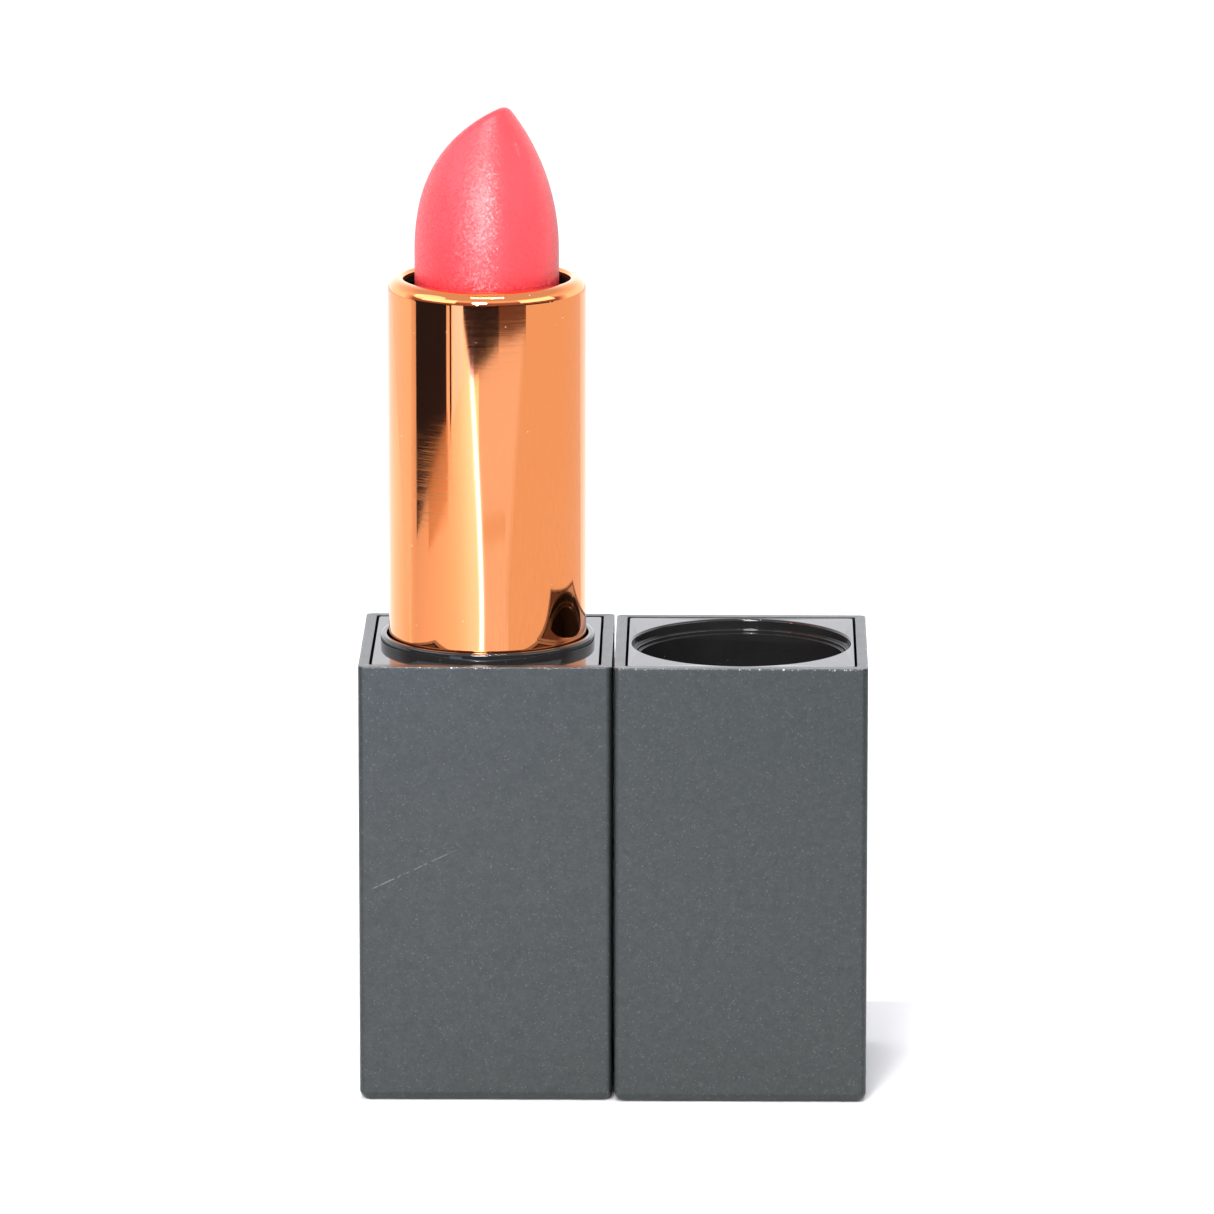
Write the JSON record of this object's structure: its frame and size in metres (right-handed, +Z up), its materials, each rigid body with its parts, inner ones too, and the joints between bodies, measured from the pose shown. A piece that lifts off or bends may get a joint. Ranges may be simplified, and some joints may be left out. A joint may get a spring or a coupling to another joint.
{
  "type": "lipstick case",
  "caption": "Square lipstick case, open: base with a twist-up bullet in a round metal tube, and a lift-off cap standing mouth up beside it.",
  "frame": {"origin": "centre of the base's underside, on the tube's axis", "axes": "+Z up along the tube's axis; the cap stands beside the base towards +X; the front faces -Y"},
  "size_m": [0.0422, 0.0214, 0.0823],
  "materials": {
    "case_lacquer": "matte dark grey metallic lacquer with a fine speckle",
    "black_moulding": "high gloss black moulding",
    "rose_gold": "mirror-polished rose gold anodising",
    "coral_lipstick": "satin coral wax with a fine pearl",
    "mechanism_black": "moulded black plastic",
    "mechanism_white": "natural white moulded plastic",
    "ring_rubber": "matte black silicone rubber",
    "bare_steel": "bare turned steel",
    "nickel_plate": "nickel-plated magnet",
    "label_film": "blank satin label film"
  },
  "bodies": {
    "base": {"base_shell": "case_lacquer", "base_insert": "black_moulding", "base_weight": "bare_steel", "shade_label": "label_film", "base_magnet_1": "nickel_plate", "base_magnet_2": "nickel_plate", "base_magnet_3": "nickel_plate", "base_magnet_4": "nickel_plate", "inner_body": "mechanism_black", "torque_ring": "ring_rubber"},
    "tube": {"tube": "rose_gold", "spiral_sleeve": "mechanism_white"},
    "cup": {"bullet_cup": "mechanism_black", "lipstick_bullet": "coral_lipstick"},
    "cap": {"cap_shell": "case_lacquer", "cap_liner": "black_moulding", "cap_magnet_1": "nickel_plate", "cap_magnet_2": "nickel_plate", "cap_magnet_3": "nickel_plate", "cap_magnet_4": "nickel_plate"}
  },
  "joints": [
    {"name": "tube_twist", "type": "hinge", "parent": "base", "child": "tube", "pos_m": [0, 0, 0.036], "axis": [0, 0, 1], "range_deg": [0, 450]},
    {"name": "cup_slide", "type": "slide", "parent": "base", "child": "cup", "axis": [0, 0, 1], "range_m": [-0.018, 0]},
    {"name": "cap_lift", "type": "slide", "parent": "base", "child": "cap", "axis": [0, 0, 1], "range_m": [0, 0.08]}
  ],
  "couplings": [
    {"joint": "cup_slide", "follows": "tube_twist", "m_per_rad": -0.0022918}
  ]
}
